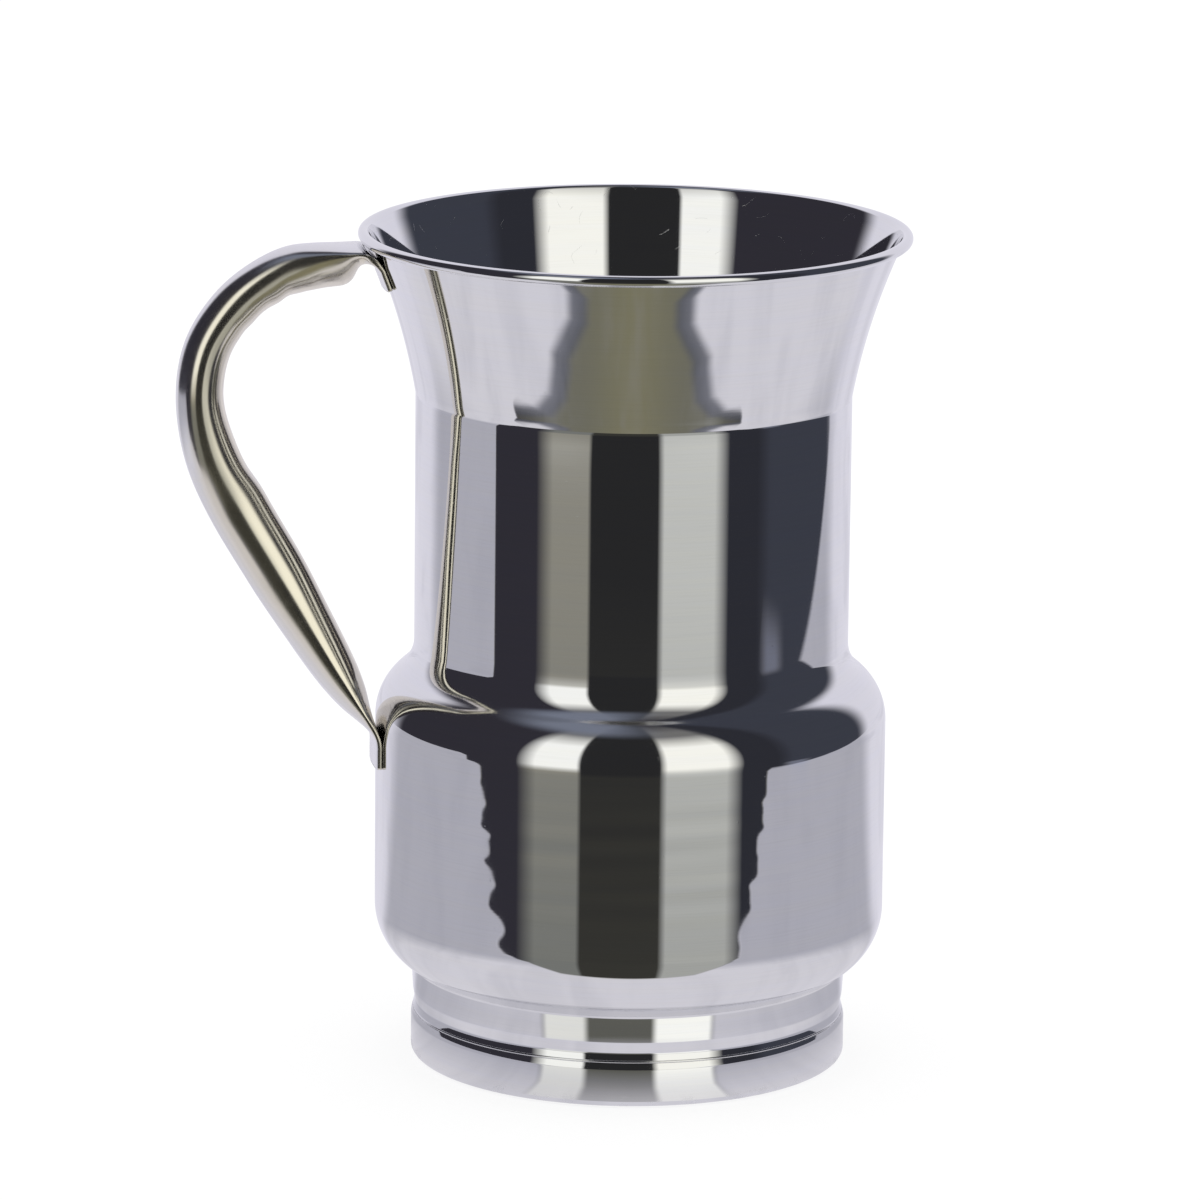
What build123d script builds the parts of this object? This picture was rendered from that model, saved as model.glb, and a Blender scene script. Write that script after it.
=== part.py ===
from build123d import *
import math
import os

# Water pitcher of polished stainless sheet: a bulged and flared body with a rolled rim, a base
# pressed into it, a foot ring welded below, and a bent tube handle with flattened ends that are
# spot-welded to the wall.
#
# Frame: origin on the body's axis, on the plane the foot rests on. +Z is up through the mouth.
# The handle lies in the XZ plane on the -X side. All sizes are in millimetres.

os.makedirs("parts", exist_ok=True)

# ---------------------------------------------------------------- driving dimensions
height = 220.0  # foot plane to the top of the rolled rim
sheet = 0.75  # wall of the body, the base and the foot ring

# Rolled rim and flared mouth
rim_r = 71.95  # outside of the rolled rim
curl_r = 1.45  # outside radius of the roll's round section
curl_turn = 265.0  # degrees that the sheet is rolled through
curl_overlap = 3.0  # degrees of the roll that are drawn into the flared wall
flare_angle = 24.5  # degrees that the wall leans out where the roll begins

# Neck
neck_r = 56.85
ridge_z = 176.8  # where the neck breaks into the flare
neck_blend_r = 10.0  # hollow blend between the neck and the shoulder

# Belly
belly_r = 67.0
shoulder_r = 15.7  # round of the shoulder, in section
shoulder_z = 90.6  # where the shoulder's round begins
bottom_r = 18.2  # round under the belly, in section
bottom_z = 40.4  # where that round begins
crease_blend_r = 1.0  # hollow blend between the belly and the foot's upper band

# Foot
band_r = 57.0  # upright upper band
band_low_z = 17.2
waist_r = 56.5
waist_z = 14.0
foot_r = 57.3  # lower band
foot_top_z = 10.2
waist_blend_r = 3.0
foot_corner_r = 1.6
foot_lip_r = 54.0  # inner edge of the lip that the foot rests on
seam_z = 12.1  # middle of the weld between body and foot ring
seam_gap = 0.5  # length of wall that the weld fills

# Base
base_z = 21.2  # inside floor of the pitcher, at its raised middle
base_step = 1.3  # the middle stands this much above the outer part
base_step_in_r = 37.0
base_step_out_r = 40.0
base_corner_r = 1.4
base_flange_z = 18.3  # lower edge of the base's turned-down flange
base_weld_leg = 0.75

# Handle: bent tube with flattened ends
tube_wall = 0.75
tab_thick = 2 * tube_wall  # both walls of the tube pressed together
tab_width = 20.0
tab_corner_r = 2.5
upper_tab_low_z = 205.8
upper_tab_high_z = 216.5
lower_tab_low_z = 79.3
lower_tab_high_z = 91.0

# Spot welds between each flattened end and the wall
weld_r = 2.0
weld_spacing = 9.0
weld_into_wall = 0.4
weld_into_tab = 1.1
upper_weld_z = 209.6
lower_weld_z = 84.2

# ---------------------------------------------------------------- worked-out places
curl_centre = (rim_r - curl_r, height - curl_r)
curl_inside_r = curl_r - sheet
curl_start = 180 - flare_angle + curl_overlap
lean = math.radians(flare_angle)
flare_end = (
    curl_centre[0] - curl_inside_r * math.cos(lean),
    curl_centre[1] + curl_inside_r * math.sin(lean),
)
ledge_slope = (foot_r - waist_r) / (waist_z - foot_top_z)
ledge_length_per_z = math.hypot(1.0, ledge_slope)


def ledge_point(z):
    """Outside of the sloping ledge between the foot's lower band and its waist."""
    return (foot_r - (z - foot_top_z) * ledge_slope, z)


def blend_centre(arc_centre_r, arc_r, wall_r, blend_r):
    """Centre radius of a hollow blend on an upright wall, and its height from the arc's centre."""
    centre_r = wall_r + blend_r
    rise = math.sqrt((arc_r + blend_r) ** 2 - (centre_r - arc_centre_r) ** 2)
    return centre_r, rise


def toward(start, end, distance):
    """Point at a distance from start on the way to end."""
    span = math.dist(start, end)
    return tuple(a + (b - a) * distance / span for a, b in zip(start, end))


shoulder_centre = (belly_r - shoulder_r, shoulder_z)
blend_r_out, blend_rise = blend_centre(shoulder_centre[0], shoulder_r, neck_r, neck_blend_r)
neck_blend_centre = (blend_r_out, shoulder_z + blend_rise)
shoulder_end = toward(shoulder_centre, neck_blend_centre, shoulder_r)

bottom_centre = (belly_r - bottom_r, bottom_z)
crease_r_out, crease_drop = blend_centre(bottom_centre[0], bottom_r, band_r, crease_blend_r)
crease_centre = (crease_r_out, bottom_z - crease_drop)
bottom_end = toward(bottom_centre, crease_centre, bottom_r)

seam_top = ledge_point(seam_z + seam_gap / 2 / ledge_length_per_z)
seam_bottom = ledge_point(seam_z - seam_gap / 2 / ledge_length_per_z)

# ---------------------------------------------------------------- outside line of the body
with BuildLine() as body_line:
    foot_part = FilletPolyline(
        seam_top,
        (waist_r, waist_z),
        (band_r, band_low_z),
        (band_r, crease_centre[1]),
        radius=waist_blend_r,
    )
    crease = TangentArc(foot_part @ 1, bottom_end, tangent=(0, 1))
    belly_bottom = TangentArc(crease @ 1, (belly_r, bottom_z), tangent=crease % 1)
    belly_side = Line(belly_bottom @ 1, (belly_r, shoulder_z))
    shoulder = TangentArc(belly_side @ 1, shoulder_end, tangent=(0, 1))
    neck_blend = TangentArc(shoulder @ 1, (neck_r, neck_blend_centre[1]), tangent=shoulder % 1)
    neck = Line(neck_blend @ 1, (neck_r, ridge_z))
    flare = TangentArc(flare_end, neck @ 1, tangent=(-math.sin(lean), -math.cos(lean)))


def flare_point(z):
    """Outside of the flared wall at a height, as radius and height."""
    centre = flare.arc_center
    return (centre.X - math.sqrt(flare.radius ** 2 - (z - centre.Y) ** 2), z)


def flare_lean(z):
    """Lean of the flared wall from upright at a height, in degrees."""
    return math.degrees(math.asin((z - flare.arc_center.Y) / flare.radius))


def spot_weld_planes(radius, z, lean_out):
    """Planes on the wall at both spot welds of one end, with z pointing out of the wall."""
    half_angle = math.degrees(weld_spacing / 2 / radius)
    for side in (-1, 1):
        around = math.radians(180 + side * half_angle)
        tilt = math.radians(lean_out)
        outward = (math.cos(around) * math.cos(tilt), math.sin(around) * math.cos(tilt), -math.sin(tilt))
        yield Plane(origin=(radius * math.cos(around), radius * math.sin(around), z), z_dir=outward)


# ---------------------------------------------------------------- spot welds
upper_weld_wall_r = flare_point(upper_weld_z)[0]
with BuildPart() as upper_tab_welds:
    for weld_plane in spot_weld_planes(upper_weld_wall_r, upper_weld_z, flare_lean(upper_weld_z)):
        with BuildSketch(weld_plane.offset(-weld_into_wall)):
            Circle(weld_r)
        extrude(amount=weld_into_wall + weld_into_tab)

with BuildPart() as lower_tab_welds:
    for weld_plane in spot_weld_planes(belly_r, lower_weld_z, 0):
        with BuildSketch(weld_plane.offset(-weld_into_wall)):
            Circle(weld_r)
        extrude(amount=weld_into_wall + weld_into_tab)

# ---------------------------------------------------------------- body shell
with BuildPart() as body_shell:
    with BuildSketch(Plane.XZ) as body_section:
        with BuildLine():
            add(body_line.line)
            offset(amount=sheet, side=Side.RIGHT)
        make_face()
        with BuildLine():
            curl_inside = CenterArc(curl_centre, curl_inside_r, curl_start, -curl_turn)
            curl_outside = CenterArc(curl_centre, curl_r, curl_start, -curl_turn)
            Line(curl_inside @ 0, curl_outside @ 0)
            Line(curl_inside @ 1, curl_outside @ 1)
        make_face()
    revolve(axis=Axis.Z)
    add(upper_tab_welds.part, mode=Mode.SUBTRACT)
    add(lower_tab_welds.part, mode=Mode.SUBTRACT)

# The same outside, filled in: what the handle's ends are cut back to.
with BuildPart() as body_filled:
    with BuildSketch(Plane.XZ):
        with BuildLine():
            add(body_line.line)
            Polyline(flare_end, (0, flare_end[1]), (0, seam_top[1]), seam_top)
        make_face()
    revolve(axis=Axis.Z)

# ---------------------------------------------------------------- weld between body and foot ring
with BuildPart() as foot_seam_weld:
    with BuildSketch(Plane.XZ):
        with BuildLine():
            Line(seam_bottom, seam_top)
            offset(amount=sheet, side=Side.LEFT)
        make_face()
    revolve(axis=Axis.Z)

# ---------------------------------------------------------------- foot ring
with BuildPart() as foot_ring:
    with BuildSketch(Plane.XZ):
        with BuildLine():
            FilletPolyline(
                (foot_lip_r, 0),
                (foot_r, 0),
                (foot_r, foot_top_z),
                seam_bottom,
                radius=foot_corner_r,
            )
            offset(amount=sheet, side=Side.LEFT)
        make_face()
    revolve(axis=Axis.Z)

# ---------------------------------------------------------------- base
base_r = band_r - sheet
with BuildPart() as base_disc:
    with BuildSketch(Plane.XZ):
        with BuildLine():
            FilletPolyline(
                (0, base_z),
                (base_step_in_r, base_z),
                (base_step_out_r, base_z - base_step),
                (base_r, base_z - base_step),
                (base_r, base_flange_z),
                radius=base_corner_r,
            )
            offset(amount=sheet, side=Side.RIGHT)
        make_face()
    revolve(axis=Axis.Z)

with BuildPart() as base_seam_weld:
    with BuildSketch(Plane.XZ):
        with BuildLine():
            Polyline(
                (base_r, base_flange_z),
                (base_r - base_weld_leg, base_flange_z),
                (base_r, base_flange_z - base_weld_leg),
                close=True,
            )
        make_face()
    revolve(axis=Axis.Z)

# ---------------------------------------------------------------- handle
# Sections from the upper end to the lower: distance of the centre from the axis, height of the
# centre, lean of the section's depth from the horizontal in degrees, depth and width.
tube_sections = [
    (67.75, 215.75, 90, 1.5, 19.6),
    (71.5, 214.0, 86, 5.2, 18.2),
    (76.0, 212.0, 84, 9.8, 16.0),
    (82.5, 211.3, 78, 12.3, 14.6),
    (95.3, 207.4, 58, 12.3, 14.4),
    (104.3, 200.6, 38, 12.3, 14.4),
    (110.9, 190.6, 16, 12.3, 14.4),
    (113.2, 179.0, 0, 12.3, 14.4),
    (110.6, 163.6, -16, 13.7, 13.2),
    (103.0, 147.8, -27, 15.8, 11.4),
    (94.2, 132.6, -31, 15.6, 11.6),
    (84.7, 116.2, -33, 13.6, 13.2),
    (78.1, 105.0, -34, 11.6, 15.0),
    (72.3, 95.4, -38, 7.0, 17.8),
    (68.15, 89.6, -24, 1.5, 19.6),
]
first_hollow = 1
last_hollow = len(tube_sections) - 2


def tube_section_plane(section):
    """Plane across the tube: its x runs along the depth, away from the body, and its y across."""
    distance, z, depth_lean = section[:3]
    tilt = math.radians(depth_lean)
    depth_dir = (-math.cos(tilt), 0, math.sin(tilt))
    return Plane(origin=(-distance, 0, z), x_dir=depth_dir, z_dir=Vector(depth_dir).cross(Vector(0, 1, 0)))


with BuildPart() as tube_hollow:
    for section in tube_sections[first_hollow:last_hollow + 1]:
        with BuildSketch(tube_section_plane(section)):
            Ellipse(section[3] / 2 - tube_wall, section[4] / 2 - tube_wall)
    loft()

tab_half_angle = math.degrees(tab_width / 2 / belly_r)
tab_inset = 1.0  # how far a tab is drawn into the body before it is cut back to the wall
tab_start = math.radians(180 - tab_half_angle)
tab_plane = Plane(
    origin=(0, 0, 0),
    x_dir=(math.cos(tab_start), math.sin(tab_start), 0),
    z_dir=(math.sin(tab_start), -math.cos(tab_start), 0),
)
upper_low = flare_point(upper_tab_low_z)
upper_high = flare_point(upper_tab_high_z)
upper_thick = tab_thick / math.cos(math.radians(flare_lean(upper_weld_z)))
corner_margin = 0.1  # how far from the tab's low end the middle of a corner edge may lie


def is_upper_tab_corner(edge):
    """True for the two edges through the thickness at the lower end of the upper tab."""
    centre = edge.center()
    at_low_end = abs(centre.Z - upper_tab_low_z) < corner_margin
    at_side = abs(centre.Y) > tab_width / 2 - tab_inset
    return at_low_end and at_side


with BuildPart() as handle_tube:
    for section in tube_sections:
        with BuildSketch(tube_section_plane(section)):
            Ellipse(section[3] / 2, section[4] / 2)
    loft()
    with BuildSketch(tab_plane):
        with BuildLine():
            Polyline(
                (upper_low[0] - tab_inset, upper_tab_low_z),
                (upper_low[0] + upper_thick, upper_tab_low_z),
                (upper_high[0] + upper_thick, upper_tab_high_z),
                (upper_high[0] - tab_inset, upper_tab_high_z),
                close=True,
            )
        make_face()
        with BuildLine():
            Polyline(
                (belly_r - tab_inset, lower_tab_low_z),
                (belly_r + tab_thick, lower_tab_low_z),
                (belly_r + tab_thick, lower_tab_high_z),
                (belly_r - tab_inset, lower_tab_high_z),
                close=True,
            )
        make_face()
    revolve(axis=Axis.Z, revolution_arc=2 * tab_half_angle)
    upper_corners = handle_tube.edges().filter_by(is_upper_tab_corner)
    fillet(upper_corners, radius=tab_corner_r)
    add(body_filled.part, mode=Mode.SUBTRACT)
    add(tube_hollow.part, mode=Mode.SUBTRACT)
    add(upper_tab_welds.part, mode=Mode.SUBTRACT)
    add(lower_tab_welds.part, mode=Mode.SUBTRACT)

# ---------------------------------------------------------------- export
body_shell.part.label = "body_shell"
base_disc.part.label = "base_disc"
base_seam_weld.part.label = "base_seam_weld"
foot_ring.part.label = "foot_ring"
foot_seam_weld.part.label = "foot_seam_weld"
handle_tube.part.label = "handle_tube"
upper_tab_welds.part.label = "upper_tab_welds"
lower_tab_welds.part.label = "lower_tab_welds"

export_step(body_shell.part, "parts/body_shell.step")
export_step(base_disc.part, "parts/base_disc.step")
export_step(base_seam_weld.part, "parts/base_seam_weld.step")
export_step(foot_ring.part, "parts/foot_ring.step")
export_step(foot_seam_weld.part, "parts/foot_seam_weld.step")
export_step(handle_tube.part, "parts/handle_tube.step")
export_step(upper_tab_welds.part, "parts/upper_tab_welds.step")
export_step(lower_tab_welds.part, "parts/lower_tab_welds.step")
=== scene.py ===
import math

import bmesh
import bpy
import numpy as np
from mathutils import Matrix, Vector


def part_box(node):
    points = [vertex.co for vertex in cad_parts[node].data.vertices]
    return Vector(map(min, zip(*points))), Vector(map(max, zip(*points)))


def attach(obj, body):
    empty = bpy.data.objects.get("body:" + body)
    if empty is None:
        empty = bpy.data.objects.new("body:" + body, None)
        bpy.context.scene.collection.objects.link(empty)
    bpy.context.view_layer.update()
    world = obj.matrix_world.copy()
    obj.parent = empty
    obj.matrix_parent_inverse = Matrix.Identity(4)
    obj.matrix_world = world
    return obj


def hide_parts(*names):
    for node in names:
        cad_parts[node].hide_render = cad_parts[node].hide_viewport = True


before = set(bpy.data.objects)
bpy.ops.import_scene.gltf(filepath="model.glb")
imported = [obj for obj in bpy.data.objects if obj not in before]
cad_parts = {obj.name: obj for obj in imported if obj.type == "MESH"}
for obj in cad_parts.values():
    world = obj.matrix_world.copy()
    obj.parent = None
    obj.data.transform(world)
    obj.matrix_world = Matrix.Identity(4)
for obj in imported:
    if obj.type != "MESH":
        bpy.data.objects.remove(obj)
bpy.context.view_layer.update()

# Metres, with z up from the plane that the pitcher stands on and the body's axis at x = y = 0.
# The handle is on the -x side.
MM = 0.001

# ------------------------------------------------------------------ sizes
foot_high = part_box("foot_ring")[1]
shell_low, shell_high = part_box("body_shell")
base_low, base_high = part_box("base_disc")
weld_low, weld_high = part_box("foot_seam_weld")

SHEET = 0.75 * MM
HEIGHT = shell_high.z

# The rolled rim and the flared wall below it. The CAD's facets make some sides of its box shorter.
RIM_R = min(shell_high.x, shell_high.y, -shell_low.y)
CURL_R = 1.45 * MM
CURL_TURN = math.radians(262)
FLARE_LEAN = math.radians(24.5)
RIDGE_Z = 176.8 * MM
RIDGE_BLEND_R = 5.0 * MM

# The neck, the shoulder's arc, the belly and the arc at its bottom, with the heights of both centres.
NECK_R = 56.85 * MM
NECK_BLEND_R = 10.0 * MM
SHOULDER_R = 15.7 * MM
SHOULDER_Z = 90.6 * MM
BELLY_R = 67.0 * MM
BOTTOM_R = 18.2 * MM
BOTTOM_Z = 40.4 * MM
CREASE_BLEND_R = 1.0 * MM

# The upper band of the foot, and the waist between it and the ledge of the foot ring.
BAND_TOP_R = 57.2 * MM
BAND_LOW_R = 56.8 * MM
BAND_LOW_Z = 17.0 * MM
BAND_BLEND_R = 5.0 * MM
WAIST_R = 56.3 * MM
WAIST_Z = 14.0 * MM
WAIST_BLEND_R = 2.0 * MM

FOOT_R = foot_high.x
FOOT_TOP_Z = 10.2 * MM
FOOT_TOP_BLEND_R = 4.5 * MM
FOOT_LIP_R = 54.0 * MM
FOOT_LIP_BLEND_R = 1.6 * MM

SEAM_Z = (weld_low.z + weld_high.z) / 2
SEAM_GROOVE = 0.03 * MM
SEAM_EDGE_GROOVE = 0.4 * SEAM_GROOVE

BASE_TOP_Z = base_high.z
BASE_FLAT_R = 37.0 * MM
BASE_STEP_R = 40.0 * MM
BASE_STEP = 1.3 * MM
BASE_STEP_BLEND_R = 1.6 * MM
BASE_EDGE_R = base_high.x
BASE_EDGE_BLEND_R = 1.5 * MM

BODY_SEGMENTS = 240
RING_SEGMENTS = 288
BASE_SEGMENTS = 192
HANDLE_SIDES = 112
SAME_POINT = 0.0001 * MM
MERGE_DISTANCE = 0.002 * MM
EDGE_SPACING = 0.03 * MM  # from a sheet's edge to the next points, so that shading turns only there

# The camera stands CAMERA_TURN round the axis towards the handle. Yaw and pitch are its aim from
# there, to the right and downwards.
CAMERA_TURN = math.radians(7.5)
CAMERA_DISTANCE = 1.9
CAMERA_HEIGHT = 0.546
CAMERA_LENS = 223
CAMERA_SENSOR = 36
CAMERA_PITCH = math.radians(12.6)
CAMERA_YAW = math.radians(-0.25)
CAMERA_ROLL = math.radians(0.58)


# ------------------------------------------------------------------ outlines of revolution
class Outline:
    """A run of points in the half-plane of radius and height, made of lines and arcs."""

    def __init__(self, start):
        self.points = [np.array(start, float)]

    def line(self, end, step=3 * MM):
        start, end = self.points[-1], np.array(end, float)
        count = max(1, int(np.hypot(*(end - start)) / step))
        self.points += [start + (end - start) * k / count for k in range(1, count + 1)]

    def arc(self, centre, radius, start_angle, end_angle, step=math.radians(5)):
        count = max(2, int(abs(end_angle - start_angle) / step))
        for k in range(count + 1):
            angle = start_angle + (end_angle - start_angle) * k / count
            point = np.array(centre, float) + radius * np.array([math.cos(angle), math.sin(angle)])
            if np.hypot(*(point - self.points[-1])) > SAME_POINT:
                self.points.append(point)

    def corner(self, corner, after, radius, step=math.radians(5)):
        """Runs to a corner and rounds it towards the point after it."""
        before, corner, after = self.points[-1], np.array(corner, float), np.array(after, float)
        way_in = (before - corner) / np.hypot(*(before - corner))
        way_out = (after - corner) / np.hypot(*(after - corner))
        half = math.acos(np.clip(way_in @ way_out, -1, 1)) / 2
        reach = radius / math.tan(half)
        centre = corner + (way_in + way_out) / np.hypot(*(way_in + way_out)) * radius / math.sin(half)
        first, last = corner + way_in * reach - centre, corner + way_out * reach - centre
        first_angle = math.atan2(first[1], first[0])
        turn = (math.atan2(last[1], last[0]) - first_angle + math.pi) % (2 * math.pi) - math.pi
        self.line(centre + first)
        self.arc(centre, radius, first_angle, first_angle + turn, step)

    def array(self):
        return np.array(self.points)


def inside_of(points, thickness):
    """The other face of a sheet whose outside is a run of points, on its left-hand side."""
    ahead = np.gradient(points, axis=0)
    ahead /= np.hypot(ahead[:, 0], ahead[:, 1])[:, None]
    return points + thickness * np.stack([-ahead[:, 1], ahead[:, 0]], axis=1)


def sheet_section(outside, thickness):
    """Closed section of a sheet from its outside line, with both edges slightly rounded."""
    from_first = outside[1] - outside[0]
    from_last = outside[-2] - outside[-1]
    beside_first = outside[0] + EDGE_SPACING * from_first / np.hypot(*from_first)
    beside_last = outside[-1] + EDGE_SPACING * from_last / np.hypot(*from_last)
    outside = np.vstack([outside[:1], [beside_first], outside[1:-1], [beside_last], outside[-1:]])
    inside = inside_of(outside, thickness)
    first = (outside[0] + inside[0]) / 2 - (outside[1] - outside[0])
    last = (outside[-1] + inside[-1]) / 2 + (outside[-1] - outside[-2])
    return np.vstack([outside, [last], inside[::-1], [first]])


def ledge_radius(z):
    """Outside radius of the sloping ledge between the foot ring and the waist, at a height."""
    return FOOT_R - (z - FOOT_TOP_Z) * (FOOT_R - WAIST_R) / (WAIST_Z - FOOT_TOP_Z)


def flare_arc():
    """Centre and radius of the flared wall's arc, and the centre of the roll that follows it."""
    curl = np.array([RIM_R - CURL_R, HEIGHT - CURL_R])
    roll_start = curl + (CURL_R - SHEET) * np.array([-math.cos(FLARE_LEAN), math.sin(FLARE_LEAN)])
    outward = np.array([math.cos(FLARE_LEAN), -math.sin(FLARE_LEAN)])
    chord = np.array([NECK_R, RIDGE_Z]) - roll_start
    radius = (chord @ chord) / (2 * chord @ outward)
    return roll_start + outward * radius, radius, curl


FLARE_CENTRE, FLARE_R, CURL_CENTRE = flare_arc()


def flare_radius(z):
    """Outside radius of the flared wall at a height."""
    return FLARE_CENTRE[0] - math.sqrt(FLARE_R ** 2 - (z - FLARE_CENTRE[1]) ** 2)


def flare_lean(z):
    """Lean of the flared wall from upright at a height."""
    return math.asin((z - FLARE_CENTRE[1]) / FLARE_R)


def blend_rise(arc_centre_r, arc_r, wall_r, blend_r):
    """Height between the centres of an arc and of the hollow blend from it to an upright wall."""
    return math.sqrt((arc_r + blend_r) ** 2 - (wall_r + blend_r - arc_centre_r) ** 2)


def body_outline():
    """Outside of the body from the seam over the belly, neck and flare to the end of the roll."""
    bottom_r = BELLY_R - BOTTOM_R
    drop = blend_rise(bottom_r, BOTTOM_R, BAND_TOP_R, CREASE_BLEND_R)
    crease = (BAND_TOP_R + CREASE_BLEND_R, BOTTOM_Z - drop)
    slope = math.atan2(-drop, crease[0] - bottom_r)
    shape = Outline((ledge_radius(weld_high.z), weld_high.z))
    shape.corner((WAIST_R, WAIST_Z), (BAND_LOW_R, BAND_LOW_Z), WAIST_BLEND_R)
    shape.corner((BAND_LOW_R, BAND_LOW_Z), (BAND_TOP_R, crease[1]), BAND_BLEND_R)
    shape.line((BAND_TOP_R, crease[1]))
    shape.arc(crease, CREASE_BLEND_R, math.pi, math.pi + slope, step=math.radians(8))
    shape.arc((bottom_r, BOTTOM_Z), BOTTOM_R, slope, 0, step=math.radians(2.5))
    shape.line((BELLY_R, SHOULDER_Z), step=0.8 * MM)

    shoulder_r = BELLY_R - SHOULDER_R
    rise = blend_rise(shoulder_r, SHOULDER_R, NECK_R, NECK_BLEND_R)
    hollow = (NECK_R + NECK_BLEND_R, SHOULDER_Z + rise)
    slope = math.atan2(rise, hollow[0] - shoulder_r)
    shape.arc((shoulder_r, SHOULDER_Z), SHOULDER_R, 0, slope, step=math.radians(2.5))
    shape.arc(hollow, NECK_BLEND_R, math.pi + slope, math.pi, step=math.radians(8))

    lean = flare_lean(RIDGE_Z)
    ridge_reach = RIDGE_BLEND_R * math.tan(lean / 2)
    ridge_centre = (NECK_R + RIDGE_BLEND_R, RIDGE_Z - ridge_reach)
    flare_start = math.pi - flare_lean(RIDGE_Z + ridge_reach)
    roll_start = math.pi - FLARE_LEAN
    shape.line((NECK_R, RIDGE_Z - ridge_reach))
    shape.arc(ridge_centre, RIDGE_BLEND_R, math.pi, math.pi - lean, step=math.radians(1.5))
    shape.arc(FLARE_CENTRE, FLARE_R, flare_start, roll_start, step=math.radians(0.7))
    shape.arc(CURL_CENTRE, CURL_R - SHEET, roll_start, roll_start - CURL_TURN, step=math.radians(12))
    return shape.array()


def foot_outline():
    """Outside of the foot ring from its inner lip to the seam."""
    seam = (ledge_radius(weld_low.z), weld_low.z)
    shape = Outline((FOOT_LIP_R, 0))
    shape.corner((FOOT_R, 0), (FOOT_R, FOOT_TOP_Z), FOOT_LIP_BLEND_R, step=math.radians(9))
    shape.corner((FOOT_R, FOOT_TOP_Z), seam, FOOT_TOP_BLEND_R, step=math.radians(1.5))
    shape.line(seam)
    return shape.array()


def base_section():
    """Section of the base, from the axis to the lower edge of its flange and back below."""
    low_z = BASE_TOP_Z - BASE_STEP
    shape = Outline((0, BASE_TOP_Z))
    shape.corner((BASE_FLAT_R, BASE_TOP_Z), (BASE_STEP_R, low_z), BASE_STEP_BLEND_R, step=math.radians(4))
    shape.corner((BASE_STEP_R, low_z), (BASE_EDGE_R, low_z), BASE_STEP_BLEND_R, step=math.radians(4))
    shape.corner((BASE_EDGE_R, low_z), (BASE_EDGE_R, base_low.z), BASE_EDGE_BLEND_R, step=math.radians(9))
    shape.line((BASE_EDGE_R, base_low.z))
    top = shape.array()
    under = inside_of(top, -SHEET)
    under[0, 0] = 0
    return np.vstack([top, under[::-1]])


def seam_section():
    """Section of the ground seam, which lies a little below the ledge on both sides of it."""
    low_r, high_r = ledge_radius(weld_low.z), ledge_radius(weld_high.z)
    return np.array([
        (low_r - SEAM_EDGE_GROOVE, weld_low.z),
        (ledge_radius(SEAM_Z) - SEAM_GROOVE, SEAM_Z),
        (high_r - SEAM_EDGE_GROOVE, weld_high.z),
        (high_r - SHEET, weld_high.z),
        (low_r - SHEET, weld_low.z),
    ])


# ------------------------------------------------------------------ mesh makers
def new_object(name, verts, faces):
    """Adds an object with a mesh of these points and faces to the scene."""
    mesh = bpy.data.meshes.new(name)
    mesh.from_pydata([tuple(v) for v in verts], [], faces)
    mesh.validate()
    obj = bpy.data.objects.new(name, mesh)
    bpy.context.scene.collection.objects.link(obj)
    return obj


def finish_mesh(obj):
    """Merges doubled points, points the faces outwards and shades the mesh smooth."""
    bm = bmesh.new()
    bm.from_mesh(obj.data)
    bmesh.ops.remove_doubles(bm, verts=bm.verts, dist=MERGE_DISTANCE)
    bmesh.ops.recalc_face_normals(bm, faces=bm.faces)
    bm.to_mesh(obj.data)
    bm.free()
    obj.data.polygons.foreach_set("use_smooth", [True] * len(obj.data.polygons))
    obj.data.update()


def faces_between(ring_pairs, sides):
    """Faces from one ring of points to another, for each pair of rings."""
    faces = []
    for low, high in ring_pairs:
        for j in range(sides):
            k = (j + 1) % sides
            faces.append((low * sides + j, low * sides + k, high * sides + k, high * sides + j))
    return faces


def spun(name, section, segments, waviness=None):
    """A closed section of radius and height turned round the axis."""
    turn = np.linspace(0, 2 * math.pi, segments, endpoint=False)
    radius = section[:, 0][:, None] * np.ones(segments)
    height = section[:, 1][:, None] * np.ones(segments)
    if waviness is not None:
        radius = radius + waviness(turn, height)
    verts = np.stack([radius * np.cos(turn), radius * np.sin(turn), height], axis=-1).reshape(-1, 3)
    count = len(section)
    faces = faces_between([(i, (i + 1) % count) for i in range(count)], segments)
    obj = new_object(name, verts, faces)
    finish_mesh(obj)
    return obj


def body_waviness(turn, height):
    """Change in radius, at each turn and height, of a wall bulged, spun and polished by hand.

    The wall is slightly out of round away from the foot and the rim, has faint uneven hoops on the
    belly, and small dents along the ridge below the flare. The amplitudes are in mm.
    """
    above_foot = np.clip((height - 28 * MM) / (14 * MM), 0, 1)
    below_rim = np.clip((HEIGHT - 6 * MM - height) / (12 * MM), 0, 1)
    on_ridge = np.exp(-((height - RIDGE_Z) / (5 * MM)) ** 2)
    on_belly = np.exp(-((height - 69 * MM) / (17 * MM)) ** 4)
    out_of_round = 0.030 * np.sin(2 * turn + 0.7) + 0.020 * np.sin(3 * turn + 2.1 + height / (40 * MM))
    hoops = 0.0038 * np.sin(height / (1.15 * MM) + 1.2 * np.sin(2 * turn))
    hoops += 0.0045 * np.sin(height / (1.8 * MM) + 2.0 * np.sin(turn + 0.6))
    dents = 0.020 * np.sin(7 * turn + 0.4) + 0.012 * np.sin(11 * turn + 1.9)
    return MM * (above_foot * below_rim * out_of_round + on_belly * hoops + on_ridge * dents)


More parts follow.
